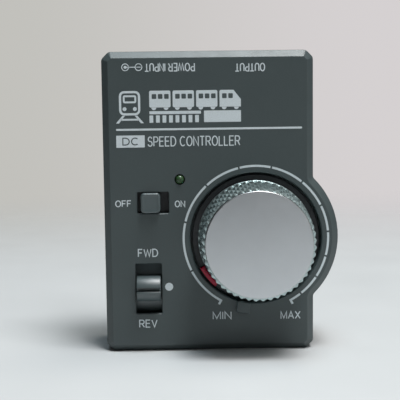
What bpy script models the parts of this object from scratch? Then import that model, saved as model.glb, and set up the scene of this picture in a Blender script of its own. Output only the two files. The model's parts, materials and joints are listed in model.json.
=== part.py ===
"""Hand-held speed controller for a model railway, standing on its flat bottom end.

Frame: metres, +Z up along the case, the front panel faces -Y, +X is to the right as seen
from the front. The origin is the centre of the flat bottom end.
Every round or prismatic piece is lofted through outlines drawn in the X-Z plane, so the
y values below are depths from front (negative) to rear (positive).
"""

import math

import bmesh
import bpy
from mathutils import Vector

MM = 0.001
GAP = 0.3 * MM  # air left between two pieces that touch

# Case
CASE_WIDTH = 70 * MM
CASE_HEIGHT = 100.5 * MM
FRONT_Y = -14 * MM
REAR_Y = 14 * MM
PARTING_Y = 3 * MM
CORNER_CUT = 2.4 * MM  # how far each 45 degree corner cut runs along the side
CORNER_SOFTNESS = 1.6 * MM
EDGE_BEVEL = 2.2 * MM
EDGE_SOFTNESS = 0.35 * MM
WALL = 2 * MM
PANEL = 2.2 * MM
PANEL_BACK_Y = FRONT_Y + PANEL
LIP_LENGTH = 2 * MM
PARTING_CHAMFER = 0.25 * MM

# Speed knob and the bulge round it
KNOB_X = 15.6 * MM
KNOB_Z = 38.2 * MM
BULGE_RADIUS = 27.8 * MM
BULGE_FILLET = 1.6 * MM
WELL_RADIUS = 22.1 * MM
WELL_DEPTH = 3 * MM
WELL_FLOOR = 2 * MM
WELL_WALL = 1.8 * MM
KNOB_RISE = 16.2 * MM  # the disc's face stands this far proud of the panel
KNOB_FRONT_RADIUS = 18.4 * MM
KNOB_REAR_RADIUS = 19.4 * MM
DISC_RADIUS = 17.4 * MM
DISC_THICKNESS = 0.7 * MM
SKIRT_RADIUS = 21.4 * MM
SKIRT_THICKNESS = 1 * MM
SKIRT_CLEARANCE = 0.8 * MM
KNURL_DEPTH = 0.5 * MM
KNURL_COUNT = 48
KNURL_ROWS = 4  # half diamonds along the sleeve, an even number
POINTER_HALF_ANGLE = 11
SCALE_START = 241.4  # the printed scale's minimum end, in degrees from +X
KNOB_REST = 22.5  # the knob at rest, in degrees past the minimum end
INDEX_BLOCK_ANGLE = 259.3
INDEX_BLOCK_WIDTH = 4.4 * MM
INDEX_BLOCK_INNER = 21.7 * MM
INDEX_BLOCK_OUTER = 25.6 * MM
INDEX_BLOCK_RISE = 1.6 * MM

# Potentiometer behind the well
SHAFT_RADIUS = 3 * MM
SHAFT_FLAT = 2.3 * MM
BUSHING_RADIUS = 4.5 * MM
POT_RADIUS = 12 * MM
POT_DEPTH = 6.1 * MM
NUT_RADIUS = 6.9 * MM
NUT_THICKNESS = 2 * MM
WASHER_RADIUS = 7.5 * MM

# Slide switches and lamp
POWER_X = -18.6 * MM
POWER_Z = 50.5 * MM
POWER_SLOT = (10.5 * MM, 7.2 * MM)
POWER_CAP = (6.5 * MM, 6.7 * MM)
POWER_CAP_OFFSET = -0.85 * MM  # the cap rests at the slot's off end
POWER_CAP_RISE = 1.5 * MM
DIRECTION_X = -20.5 * MM
DIRECTION_Z = 21.5 * MM
DIRECTION_SLOT = (8.8 * MM, 17.1 * MM)
DIRECTION_CAP_WIDTH = 8 * MM
DIRECTION_CAP_RADIUS = 4.25 * MM
DIRECTION_CAP_CENTRE_Y = FRONT_Y + 1 * MM
DIRECTION_TRAVEL = 3 * MM
SHIELD_HALF_LENGTH = 12 * MM
SHIELD_CURVE_RADIUS = 26 * MM
SHIELD_THICKNESS = 0.9 * MM
SWITCH_DEPTH = 5 * MM
STEM = 2 * MM
LAMP_X = -9.6 * MM
LAMP_Z = 58.2 * MM
LAMP_RADIUS = 1.5 * MM

# Main board
BOARD_FRONT_Y = -0.3 * MM
BOARD_THICKNESS = 1.6 * MM
BOARD_BACK_Y = BOARD_FRONT_Y + BOARD_THICKNESS
BOARD_SCREWS = ((-27 * MM, 76 * MM), (27 * MM, 76 * MM), (-7 * MM, 17 * MM))

# Connectors on the top end face
TOP_HOLE_Y = -5.4 * MM
JACK_X = -16 * MM
JACK_SIZE = (9 * MM, 13 * MM)  # width and depth below the top wall
JACK_BORE = 3.1 * MM
SOCKET_X = 14 * MM
SOCKET_SIZE = (12 * MM, 12 * MM)
SOCKET_OPENING = (9.4 * MM, 6 * MM)

# Fastenings and rear face
CASE_SCREW_X = 29 * MM
CASE_SCREW_MARGIN = 7.5 * MM
FOOT_RADIUS = 4 * MM
FOOT_RISE = 1.2 * MM
LABEL_SIZE = (36 * MM, 24 * MM)
POCKET = 0.6 * MM


def clear_scene():
    for old in list(bpy.data.objects):
        bpy.data.objects.remove(old, do_unlink=True)


# Materials -----------------------------------------------------------------


def material(name, colour, roughness, metallic=0.0):
    made = bpy.data.materials.get(name)
    if made is None:
        made = bpy.data.materials.new(name)
        made.use_nodes = True
        shader = made.node_tree.nodes["Principled BSDF"]
        shader.inputs["Base Color"].default_value = (*colour, 1)
        shader.inputs["Roughness"].default_value = roughness
        shader.inputs["Metallic"].default_value = metallic
    return made


def case_plastic():
    return material("case_plastic", (0.055, 0.072, 0.075), 0.45)


def cap_plastic():
    return material("cap_plastic", (0.06, 0.08, 0.085), 0.3)


def black_plastic():
    return material("black_plastic", (0.015, 0.016, 0.017), 0.5)


def knurled_chrome():
    return material("knurled_chrome", (0.8, 0.82, 0.83), 0.08, 1.0)


def satin_disc():
    return material("satin_disc", (0.62, 0.64, 0.66), 0.4, 1.0)


def pointer_red():
    return material("pointer_red", (0.42, 0.01, 0.03), 0.35)


def lamp_green():
    return material("lamp_green", (0.03, 0.1, 0.03), 0.15)


def plated_steel():
    return material("plated_steel", (0.55, 0.55, 0.54), 0.35, 1.0)


def brass():
    return material("brass", (0.6, 0.45, 0.2), 0.35, 1.0)


def rubber():
    return material("rubber", (0.02, 0.02, 0.02), 0.85)


def label_film():
    return material("label_film", (0.35, 0.36, 0.37), 0.5)


def board_green():
    return material("board_green", (0.01, 0.09, 0.04), 0.4)


def aluminium():
    return material("aluminium", (0.6, 0.6, 0.6), 0.4, 1.0)


def capacitor_sleeve():
    return material("capacitor_sleeve", (0.02, 0.03, 0.12), 0.35)


def fuse_yellow():
    return material("fuse_yellow", (0.5, 0.32, 0.03), 0.5)


# Outlines: lists of (x, z) points, anticlockwise as seen from the front ------


def arc(centre, radius, start, end, steps):
    """Points along a circle, from start to end in degrees, both ends included."""
    points = []
    for step in range(steps + 1):
        angle = math.radians(start + (end - start) * step / steps)
        points.append((centre[0] + radius * math.cos(angle), centre[1] + radius * math.sin(angle)))
    return points


def circle(radius, count=24, centre=(0, 0)):
    return arc(centre, radius, 0, 360, count)[:-1]


def rectangle(width, height, corner=0.0, steps=3, centre=(0, 0)):
    x, z = width / 2 - corner, height / 2 - corner
    quarters = ((x, z, 0), (-x, z, 90), (-x, -z, 180), (x, -z, 270))
    if corner == 0:
        return [(centre[0] + across, centre[1] + up) for across, up, _ in quarters]
    points = []
    for across, up, start in quarters:
        points += arc((centre[0] + across, centre[1] + up), corner, start, start + 90, steps)
    return points


def cut_corner(corner, start, inset):
    """A square corner cut off at 45 degrees, both of its edges softened, moved in by inset.

    The outline reaches the corner heading 90 degrees past start."""
    half_turn = math.radians(22.5)
    leg = CORNER_CUT - (2 - math.sqrt(2)) * inset
    radius = max(CORNER_SOFTNESS - inset, 0.3 * MM)
    points = []
    for along, first in ((start + 90, start), (start, start + 45)):
        towards = math.radians(along)
        middle = math.radians(first) + half_turn
        reach = radius / math.cos(half_turn)
        x = corner[0] - leg * math.cos(towards) - reach * math.cos(middle)
        z = corner[1] - leg * math.sin(towards) - reach * math.sin(middle)
        points += arc((x, z), radius, first, first + 45, 2)
    return points


def case_outline(inset=0.0):
    """The case's oblong with cut corners and its bulge round the knob, moved in by inset."""
    side = CASE_WIDTH / 2
    fillet_x = side + BULGE_FILLET
    rise = math.sqrt((BULGE_RADIUS + BULGE_FILLET) ** 2 - (fillet_x - KNOB_X) ** 2)
    half_angle = math.degrees(math.atan2(rise, fillet_x - KNOB_X))
    round_fillet = BULGE_FILLET + inset
    across = side - inset
    top = CASE_HEIGHT - inset
    points = cut_corner((-across, inset), 180, inset)
    points += cut_corner((across, inset), 270, inset)
    points += arc((fillet_x, KNOB_Z - rise), round_fillet, 180, 180 - half_angle, 3)
    points += arc((KNOB_X, KNOB_Z), BULGE_RADIUS - inset, -half_angle, half_angle, 24)[1:-1]
    points += arc((fillet_x, KNOB_Z + rise), round_fillet, 180 + half_angle, 180, 3)
    points += cut_corner((across, top), 0, inset)
    points += cut_corner((-across, top), 90, inset)
    return points


# Mesh makers ------------------------------------------------------------------


def loft(sections, closed=False):
    """One body through (outline, y) sections with equal point counts: capped, or a closed ring."""
    mesh = bmesh.new()
    rings = [[mesh.verts.new((x, y, z)) for x, z in outline] for outline, y in sections]
    count = len(rings[0])
    pairs = list(zip(rings, rings[1:]))
    if closed:
        pairs.append((rings[-1], rings[0]))
    for near, far in pairs:
        for index in range(count):
            after = (index + 1) % count
            mesh.faces.new((near[index], near[after], far[after], far[index]))
    if not closed:
        mesh.faces.new(rings[0])
        mesh.faces.new(rings[-1])
    bmesh.ops.recalc_face_normals(mesh, faces=mesh.faces)
    return mesh


def turned(profile, count=24, closed=False):
    """A body turned round the Y axis from (radius, y) pairs."""
    return loft([(circle(radius, count), y) for radius, y in profile], closed)


def block(size, centre=(0, 0, 0), corner=0.0):
    """A block with X, Y and Z sizes, its four long edges along Y rounded if corner is given."""
    outline = rectangle(size[0], size[2], corner, centre=(centre[0], centre[2]))
    return loft([(outline, centre[1] - size[1] / 2), (outline, centre[1] + size[1] / 2)])


def prism_x(outline, half_width):
    """A body along X from (y, z) points."""
    mesh = bmesh.new()
    left = [mesh.verts.new((-half_width, y, z)) for y, z in outline]
    right = [mesh.verts.new((half_width, y, z)) for y, z in outline]
    for index in range(len(outline)):
        after = (index + 1) % len(outline)
        mesh.faces.new((left[index], left[after], right[after], right[index]))
    mesh.faces.new(left)
    mesh.faces.new(right)
    bmesh.ops.recalc_face_normals(mesh, faces=mesh.faces)
    return mesh


def add(name, mesh, finish, location=(0, 0, 0), rotation=(0, 0, 0), parent=None):
    """Turn a bmesh into a named object with one finish."""
    data = bpy.data.meshes.new(name)
    mesh.to_mesh(data)
    mesh.free()
    data.shade_smooth()
    data.set_sharp_from_angle(angle=math.radians(35))
    data.materials.append(finish)
    made = bpy.data.objects.new(name, data)
    bpy.context.collection.objects.link(made)
    made.location = location
    made.rotation_euler = rotation
    if parent is not None:
        made.parent = parent
        made.matrix_parent_inverse.identity()
        made.location = Vector(location) - parent.location
    return made


def axis_empty(name, location):
    """An empty on a joint's axis, which carries the moving pieces."""
    made = bpy.data.objects.new(name, None)
    made.empty_display_size = 0.01
    bpy.context.collection.objects.link(made)
    made.location = location
    return made


def boolean(target, name, mesh, operation, location=(0, 0, 0), rotation=(0, 0, 0)):
    """Join a helper shape to the target, or cut it away."""
    helper = add(name, mesh, target.data.materials[0], location, rotation)
    helper.hide_render = True
    helper.display_type = "WIRE"
    modifier = target.modifiers.new(name, "BOOLEAN")
    modifier.operation = operation
    modifier.solver = "EXACT"
    modifier.object = helper


def join(target, name, mesh, location=(0, 0, 0), rotation=(0, 0, 0)):
    boolean(target, name, mesh, "UNION", location, rotation)


def cut(target, name, mesh, location=(0, 0, 0), rotation=(0, 0, 0)):
    boolean(target, name, mesh, "DIFFERENCE", location, rotation)


def case_screw_places():
    top = CASE_HEIGHT - CASE_SCREW_MARGIN
    return [(side * CASE_SCREW_X, z) for z in (CASE_SCREW_MARGIN, top) for side in (-1, 1)]


# Case -------------------------------------------------------------------------


def edge_sections():
    """Insets and depths across the bevelled edge, from the flat face to the side wall."""
    reach = EDGE_BEVEL + EDGE_SOFTNESS * math.tan(math.radians(22.5))
    near_face = []
    for degrees in (0, 22.5, 45):
        angle = math.radians(degrees)
        inset = reach - EDGE_SOFTNESS * math.sin(angle)
        near_face.append((inset, EDGE_SOFTNESS * (1 - math.cos(angle))))
    near_side = [(depth, inset) for inset, depth in reversed(near_face)]
    return near_face + near_side


def front_case():
    sections = [(case_outline(inset), FRONT_Y + depth) for inset, depth in edge_sections()]
    sections.append((case_outline(), PARTING_Y - PARTING_CHAMFER))
    sections.append((case_outline(PARTING_CHAMFER), PARTING_Y))
    sections.append((case_outline(WALL), PARTING_Y))
    sections.append((case_outline(WALL), PANEL_BACK_Y + 1 * MM))
    sections.append((case_outline(WALL + 0.6 * MM), PANEL_BACK_Y))
    case = add("front_case", loft(sections), case_plastic())
    add_well(case)
    add_front_bosses(case)
    cut_panel_openings(case)
    cut_top_openings(case)
    return case


def add_well(case):
    """The round recess that the knob turns in, and the index block on its rim."""
    knob = (KNOB_X, 0, KNOB_Z)
    floor_y = FRONT_Y + WELL_DEPTH
    outer = WELL_RADIUS + WELL_WALL
    join(case, "well_boss", turned([(outer, PANEL_BACK_Y - 1 * MM), (outer, floor_y + WELL_FLOOR)], 60), knob)
    rim = 0.3 * MM
    recess = [
        (WELL_RADIUS - 0.4 * MM, floor_y),
        (WELL_RADIUS, FRONT_Y + rim),
        (WELL_RADIUS + rim, FRONT_Y),
        (WELL_RADIUS + rim, FRONT_Y - 1 * MM),
    ]
    cut(case, "well_recess", turned(recess, 72), knob)
    hole = BUSHING_RADIUS + GAP
    cut(case, "bushing_hole", turned([(hole, floor_y - 1 * MM), (hole, floor_y + 2 * WELL_FLOOR)], 24), knob)
    join(case, "index_block", index_block(), knob, (0, -math.radians(INDEX_BLOCK_ANGLE), 0))


def index_block():
    """A block along +X from the knob's axis, which the case turns to its place on the rim."""
    length = INDEX_BLOCK_OUTER - INDEX_BLOCK_INNER
    middle = (INDEX_BLOCK_OUTER + INDEX_BLOCK_INNER) / 2
    edge = 0.4 * MM
    front = FRONT_Y - INDEX_BLOCK_RISE

    def outline(inset):
        return rectangle(length - 2 * inset, INDEX_BLOCK_WIDTH - 2 * inset, 0.3 * MM, 2, (middle, 0))

    back = FRONT_Y + WELL_DEPTH + 0.5 * MM
    return loft([(outline(edge), front), (outline(0), front + edge), (outline(0), back)])


def add_front_bosses(case):
    """Screw bosses at the corners and three posts for the board, all with blind holes."""
    for index, (x, z) in enumerate(case_screw_places()):
        boss = blind_post(3.2 * MM, 1.5 * MM, 0.9 * MM, -8 * MM)
        join(case, f"case_boss_{index + 1}", boss, (x, 0, z))
    for index, (x, z) in enumerate(BOARD_SCREWS):
        post = blind_post(2.4 * MM, 1.1 * MM, BOARD_FRONT_Y - GAP, -6.5 * MM)
        join(case, f"board_post_{index + 1}", post, (x, 0, z))


def blind_post(outer, bore, top_y, bottom_y):
    profile = [(outer, PANEL_BACK_Y - 0.7 * MM), (outer, top_y), (bore, top_y), (bore, bottom_y)]
    return turned(profile, 16)


def slot_cutter(size):
    """A rounded oblong through the panel, with a fine chamfer at the front."""
    edge = 0.2 * MM

    def outline(grow):
        return rectangle(size[0] + 2 * grow, size[1] + 2 * grow, 0.4 * MM + grow)

    return loft([
        (outline(edge), FRONT_Y - 1 * MM),
        (outline(edge), FRONT_Y),
        (outline(0), FRONT_Y + edge),
        (outline(0), PANEL_BACK_Y + 1 * MM),
    ])


def cut_panel_openings(case):
    cut(case, "power_slot", slot_cutter(POWER_SLOT), (POWER_X, 0, POWER_Z))
    cut(case, "direction_slot", slot_cutter(DIRECTION_SLOT), (DIRECTION_X, 0, DIRECTION_Z))
    hole = LAMP_RADIUS + GAP
    lamp_bore = turned([(hole, FRONT_Y - 1 * MM), (hole, PANEL_BACK_Y + 1 * MM)], 20)
    cut(case, "lamp_hole", lamp_bore, (LAMP_X, 0, LAMP_Z))


def cut_top_openings(case):
    """A round hole for the power plug and an oblong one for the output plug."""
    on_end = (math.radians(90), 0, 0)
    reach = 3 * MM
    round_hole = turned([(4 * MM, -reach), (4 * MM, reach)], 24)
    cut(case, "jack_hole", round_hole, (JACK_X, TOP_HOLE_Y, CASE_HEIGHT), on_end)
    outline = rectangle(*SOCKET_OPENING, 0.5 * MM)
    oblong = loft([(outline, -reach), (outline, reach)])
    cut(case, "output_hole", oblong, (SOCKET_X, TOP_HOLE_Y, CASE_HEIGHT), on_end)


def rear_cover():
    edge = [(case_outline(inset), REAR_Y - depth) for inset, depth in edge_sections()]
    front = PARTING_Y + GAP
    lip_outer = WALL + GAP
    lip_inner = lip_outer + 1 * MM
    sections = edge + [
        (case_outline(), front + PARTING_CHAMFER),
        (case_outline(PARTING_CHAMFER), front),
        (case_outline(lip_outer), front),
        (case_outline(lip_outer), front - LIP_LENGTH),
        (case_outline(lip_inner), front - LIP_LENGTH),
        (case_outline(lip_inner), front + 1 * MM),
        (case_outline(WALL), front + 2.2 * MM),
        (case_outline(WALL), REAR_Y - WALL),
    ]
    cover = add("rear_cover", loft(sections), case_plastic())
    for index, (x, z) in enumerate(case_screw_places()):
        add_cover_boss(cover, index + 1, (x, 0, z))
    for index, (x, z) in enumerate(foot_places()):
        pocket = turned([(FOOT_RADIUS + GAP, REAR_Y - POCKET), (FOOT_RADIUS + GAP, REAR_Y + 1 * MM)], 28)
        cut(cover, f"foot_pocket_{index + 1}", pocket, (x, 0, z))
    outline = rectangle(LABEL_SIZE[0] + 2 * GAP, LABEL_SIZE[1] + 2 * GAP, 1 * MM)
    recess = loft([(outline, REAR_Y - POCKET), (outline, REAR_Y + 1 * MM)])
    cut(cover, "label_recess", recess, (0, 0, CASE_HEIGHT / 2))
    return cover


SCREW_HEAD_Y = 4.7 * MM


def add_cover_boss(cover, number, place):
    """A boss that meets the front case's boss, with a deep counterbore for the screw."""
    seat_y = 1.2 * MM
    boss = [(3.6 * MM, seat_y), (3.6 * MM, 3.6 * MM), (4.4 * MM, 3.6 * MM), (4.4 * MM, REAR_Y - 1 * MM)]
    join(cover, f"cover_boss_{number}", turned(boss, 20), place)
    bore = [
        (1.5 * MM, seat_y - 1 * MM),
        (1.5 * MM, SCREW_HEAD_Y),
        (3 * MM, SCREW_HEAD_Y),
        (3 * MM, REAR_Y + 1 * MM),
    ]
    cut(cover, f"screw_bore_{number}", turned(bore, 20), place)


def foot_places():
    return [(side * 20 * MM, z) for z in (8.5 * MM, CASE_HEIGHT - 8.5 * MM) for side in (-1, 1)]


def feet():
    base = REAR_Y - POCKET + GAP
    tip = REAR_Y + FOOT_RISE
    edge = 0.5 * MM
    profile = [(FOOT_RADIUS, base), (FOOT_RADIUS, tip - edge), (FOOT_RADIUS - edge, tip)]
    for index, (x, z) in enumerate(foot_places()):
        add(f"foot_{index + 1}", turned(profile, 28), rubber(), (x, 0, z))


def rating_label():
    outline = rectangle(*LABEL_SIZE, 0.8 * MM)
    film = loft([(outline, REAR_Y - POCKET + GAP), (outline, REAR_Y - 0.05 * MM)])
    add("rating_label", film, label_film(), (0, 0, CASE_HEIGHT / 2))


def screw(name, place, head_y, head_radius, radius, length, head=1.8 * MM):
    """A pan-head screw driven from the rear, with a turned dimple for the driver."""
    profile = [
        (0.9 * radius, head_y + head / 2),
        (1.1 * radius, head_y + head),
        (0.8 * head_radius, head_y + head),
        (head_radius, head_y + head / 2),
        (head_radius, head_y),
        (radius, head_y),
        (radius, head_y - length + radius),
        (0.3 * radius, head_y - length),
    ]
    add(name, turned(profile, 14), plated_steel(), (place[0], 0, place[1]))


def screws():
    for index, place in enumerate(case_screw_places()):
        screw(f"case_screw_{index + 1}", place, SCREW_HEAD_Y + GAP, 2.6 * MM, 1.2 * MM, 12 * MM)
    for index, place in enumerate(BOARD_SCREWS):
        head_y = BOARD_BACK_Y + GAP
        screw(f"board_screw_{index + 1}", place, head_y, 1.9 * MM, 0.8 * MM, 7.5 * MM, 1.2 * MM)


# Speed knob and potentiometer ---------------------------------------------------


SKIRT_BACK_Y = FRONT_Y + WELL_DEPTH - SKIRT_CLEARANCE
SKIRT_FRONT_Y = SKIRT_BACK_Y - SKIRT_THICKNESS
DISC_FRONT_Y = FRONT_Y - KNOB_RISE
DISC_BACK_Y = DISC_FRONT_Y + DISC_THICKNESS
SLEEVE_FRONT_Y = DISC_BACK_Y + GAP
SLEEVE_BACK_Y = SKIRT_FRONT_Y - GAP
CORE_RADIUS = 16.7 * MM
SHAFT_TIP_Y = -27 * MM


def knob_core(axis):
    """The dark inner body: skirt in the well, a D-shaped bore, and a recess over the nut."""
    recess = 9 * MM
    profile = [
        (CORE_RADIUS, SLEEVE_FRONT_Y),
        (CORE_RADIUS, SKIRT_FRONT_Y),
        (SKIRT_RADIUS - 0.3 * MM, SKIRT_FRONT_Y),
        (SKIRT_RADIUS, SKIRT_FRONT_Y + 0.3 * MM),
        (SKIRT_RADIUS, SKIRT_BACK_Y),
        (recess, SKIRT_BACK_Y),
        (recess, -17 * MM),
    ]
    core = add("knob_core", turned(profile, 60), black_plastic(), axis.location, parent=axis)
    bore = [(d_outline(GAP), SHAFT_TIP_Y - GAP), (d_outline(GAP), -16 * MM)]
    cut(core, "shaft_bore", loft(bore), axis.location)


def d_outline(grow=0.0):
    """The shaft's round section with one flat, which faces up."""
    radius = SHAFT_RADIUS + grow
    flat = math.degrees(math.acos((SHAFT_FLAT + grow) / radius))
    return arc((0, 0), radius, 90 + flat, 450 - flat, 20)


def knob_sleeve(axis):
    add("knob_sleeve", knurled_tube(), knurled_chrome(), axis.location, parent=axis)


def knurled_tube():
    """A tapered tube whose outside is a lattice of raised diamonds in front of a plain rim."""
    mesh = bmesh.new()
    rear_rim = 1.2 * MM
    first_y = SLEEVE_BACK_Y - rear_rim
    last_y = SLEEVE_FRONT_Y + 0.4 * MM
    step_angle = 2 * math.pi / KNURL_COUNT

    def outer_radius(y):
        along = (y - SLEEVE_BACK_Y) / (SLEEVE_FRONT_Y - SLEEVE_BACK_Y)
        return KNOB_REAR_RADIUS + (KNOB_FRONT_RADIUS - KNOB_REAR_RADIUS) * along

    def point(turn, radius, y):
        angle = turn * step_angle
        return mesh.verts.new((radius * math.cos(angle), y, radius * math.sin(angle)))

    def ring(radius, y, shift=0.0):
        return [point(index + shift, radius, y) for index in range(KNURL_COUNT)]

    def bridge(near, far):
        for index in range(KNURL_COUNT):
            after = (index + 1) % KNURL_COUNT
            mesh.faces.new((near[index], near[after], far[after], far[index]))

    rows = []
    for row in range(KNURL_ROWS + 1):
        y = first_y + (last_y - first_y) * row / KNURL_ROWS
        rows.append(ring(outer_radius(y) - KNURL_DEPTH, y, 0.5 * (row % 2)))
    for row in range(1, KNURL_ROWS):
        y = first_y + (last_y - first_y) * row / KNURL_ROWS
        shift = (row + 1) % 2
        for index in range(KNURL_COUNT):
            peak = point(index + 0.5 * shift, outer_radius(y), y)
            low = rows[row - 1][index]
            high = rows[row + 1][index]
            left = rows[row][(index - 1 + shift) % KNURL_COUNT]
            right = rows[row][(index + shift) % KNURL_COUNT]
            for start, end in ((low, right), (right, high), (high, left), (left, low)):
                mesh.faces.new((start, end, peak))
    for index in range(KNURL_COUNT):
        after = (index + 1) % KNURL_COUNT
        mesh.faces.new((rows[0][index], rows[0][after], rows[1][index]))
        mesh.faces.new((rows[-1][index], rows[-1][after], rows[-2][index]))
    edge = 0.2 * MM
    inner = CORE_RADIUS + GAP
    loops = [
        rows[-1],
        ring(DISC_RADIUS + 0.1 * MM, SLEEVE_FRONT_Y),
        ring(inner, SLEEVE_FRONT_Y),
        ring(inner, SLEEVE_BACK_Y),
        ring(KNOB_REAR_RADIUS - edge, SLEEVE_BACK_Y),
        ring(KNOB_REAR_RADIUS, SLEEVE_BACK_Y - edge),
        ring(KNOB_REAR_RADIUS, first_y + edge),
        rows[0],
    ]
    for near, far in zip(loops, loops[1:]):
        bridge(near, far)
    bmesh.ops.recalc_face_normals(mesh, faces=mesh.faces)
    return mesh


def knob_disc(axis):
    bevel = 0.3 * MM
    profile = [
        (DISC_RADIUS, DISC_BACK_Y),
        (DISC_RADIUS, DISC_FRONT_Y + bevel),
        (DISC_RADIUS - bevel, DISC_FRONT_Y),
    ]
    add("knob_disc", turned(profile, 72), satin_disc(), axis.location, parent=axis)


def knob_pointer(axis):
    """A short red arc on the skirt, which turns with the knob past the printed scale."""
    inner = KNOB_REAR_RADIUS + GAP
    outer = SKIRT_RADIUS - 0.1 * MM
    middle = SCALE_START - KNOB_REST
    start, end = middle - POINTER_HALF_ANGLE, middle + POINTER_HALF_ANGLE
    outline = arc((0, 0), outer, start, end, 8) + arc((0, 0), inner, end, start, 8)
    back = SKIRT_FRONT_Y - GAP
    bar = loft([(outline, back), (outline, back - 1.2 * MM)])
    add("knob_pointer", bar, pointer_red(), axis.location, parent=axis)


POT_FRONT_Y = FRONT_Y + WELL_DEPTH + WELL_FLOOR + GAP
POT_PLATE = 0.8 * MM


def pot_shaft(axis):
    """A metal shaft, round where it turns in the bushing and flattened in the knob."""
    end = POT_FRONT_Y + 5 * MM
    shaft = add("pot_shaft", turned([(SHAFT_RADIUS, SHAFT_TIP_Y), (SHAFT_RADIUS, end)], 24), plated_steel(),
                axis.location, parent=axis)
    flat_end = -16.5 * MM
    reach = 2 * SHAFT_RADIUS
    size = (reach, reach, reach)
    length = flat_end - SHAFT_TIP_Y + 1 * MM
    cutter = block((size[0], length, size[2]), (0, flat_end - length / 2, SHAFT_FLAT + reach / 2))
    cut(shaft, "shaft_flat", cutter, axis.location)
    wiper_y = POT_FRONT_Y + 2.2 * MM
    wiper = [
        (SHAFT_RADIUS + GAP, wiper_y),
        (8 * MM, wiper_y),
        (8 * MM, wiper_y + 0.6 * MM),
        (SHAFT_RADIUS + GAP, wiper_y + 0.6 * MM),
    ]
    add("pot_wiper", turned(wiper, 28, closed=True), brass(), axis.location, parent=axis)


def potentiometer():
    """The fixed half: bushing and plate, body, washer, nut and three terminals."""
    knob = (KNOB_X, 0, KNOB_Z)
    bore = SHAFT_RADIUS + GAP
    plate = POT_RADIUS - 0.4 * MM
    plate_back = POT_FRONT_Y + POT_PLATE
    bushing = [
        (bore, -15 * MM),
        (BUSHING_RADIUS, -15 * MM),
        (BUSHING_RADIUS, POT_FRONT_Y),
        (plate, POT_FRONT_Y),
        (plate, plate_back),
        (bore, plate_back),
    ]
    add("pot_bushing", turned(bushing, 28, closed=True), plated_steel(), knob)
    body_front = plate_back + GAP
    body_back = body_front + POT_DEPTH
    body = [
        (POT_RADIUS, body_back),
        (POT_RADIUS, body_front),
        (POT_RADIUS - 1.2 * MM, body_front),
        (POT_RADIUS - 1.2 * MM, body_back - 1.2 * MM),
    ]
    add("pot_body", turned(body, 36), black_plastic(), knob)
    seat = FRONT_Y + WELL_DEPTH - GAP
    washer_front = seat - 0.4 * MM
    washer = [
        (BUSHING_RADIUS + GAP, seat),
        (WASHER_RADIUS, seat),
        (WASHER_RADIUS, washer_front),
        (BUSHING_RADIUS + GAP, washer_front),
    ]
    add("pot_washer", turned(washer, 24, closed=True), plated_steel(), knob)
    nut_seat = washer_front - GAP
    nut_front = nut_seat - NUT_THICKNESS
    # A ring of 24 points on a hexagon keeps the outside and the bore in step.
    hexagon = hexagon_outline(NUT_RADIUS, 24)
    bore_outline = circle(BUSHING_RADIUS + GAP, 24)
    rings = [(bore_outline, nut_seat), (hexagon, nut_seat), (hexagon, nut_front), (bore_outline, nut_front)]
    nut = loft(rings, True)
    add("pot_nut", nut, plated_steel(), knob)
    for index in range(3):
        x = KNOB_X + (index - 1) * 5 * MM
        z = KNOB_Z - POT_RADIUS - 0.8 * MM
        length = BOARD_FRONT_Y - GAP - body_front
        pin = block((1.4 * MM, length, 0.5 * MM), (0, body_front + length / 2, 0))
        add(f"pot_terminal_{index + 1}", pin, plated_steel(), (x, 0, z))


def hexagon_outline(radius, count):
    """Evenly turned points on a hexagon with its corners at radius."""
    points = []
    for x, z in circle(1, count):
        within = math.radians(30) - math.atan2(z, x) % math.radians(60)
        reach = radius * math.cos(math.radians(30)) / math.cos(within)
        points.append((x * reach, z * reach))
    return points


def speed_knob():
    axis = axis_empty("speed_knob_axis", (KNOB_X, 0, KNOB_Z))
    knob_core(axis)
    knob_sleeve(axis)
    knob_disc(axis)
    knob_pointer(axis)
    pot_shaft(axis)


# Switches and lamp ----------------------------------------------------------------


SHIELD_FRONT_Y = PANEL_BACK_Y + GAP
STEM_TIP_Y = -13.2 * MM
SWITCH_BACK_Y = BOARD_FRONT_Y - GAP
SWITCH_FRONT_Y = SWITCH_BACK_Y - SWITCH_DEPTH
SWITCH_WALL = 0.6 * MM


def power_switch():
    cap_x = POWER_X + POWER_CAP_OFFSET
    slide = axis_empty("power_switch_slide", (cap_x, 0, POWER_Z))
    front = FRONT_Y - POWER_CAP_RISE
    shield = (13.5 * MM, 9.6 * MM)
    edge = 0.5 * MM
    rim = 0.9 * MM
    dish = 0.3 * MM

    def outline(inset):
        return rectangle(POWER_CAP[0] - 2 * inset, POWER_CAP[1] - 2 * inset, 1.2 * MM - inset)

    shield_outline = rectangle(*shield, 1 * MM)
    sections = [
        (shield_outline, SHIELD_FRONT_Y + 0.8 * MM),
        (shield_outline, SHIELD_FRONT_Y),
        (outline(0), SHIELD_FRONT_Y),
        (outline(0), front + edge),
        (outline(0.3 * edge), front + 0.3 * edge),
        (outline(edge), front),
        (outline(rim), front),
        (outline(rim + dish), front + dish),
    ]
    cap = add("power_switch_cap", loft(sections), cap_plastic(), slide.location, parent=slide)
    cut(cap, "power_stem_socket", stem_socket(), slide.location)
    window = (STEM + 2.8 * MM, STEM + 1 * MM)
    switch_frame("power_switch_frame", (12.5 * MM, 7 * MM), window, (POWER_X, POWER_Z))
    switch_slider("power_switch_slider", (6 * MM, 4.6 * MM), slide)
    switch_pins("power_switch_pin", 3, 1, 3.5 * MM, 0, (POWER_X, POWER_Z), True)


def stem_socket():
    """A square hole in a cap's rear for the slider's stem."""
    side = STEM + 2 * GAP
    start = STEM_TIP_Y - GAP
    end = -8 * MM
    return block((side, end - start, side), (0, (start + end) / 2, 0))


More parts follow.
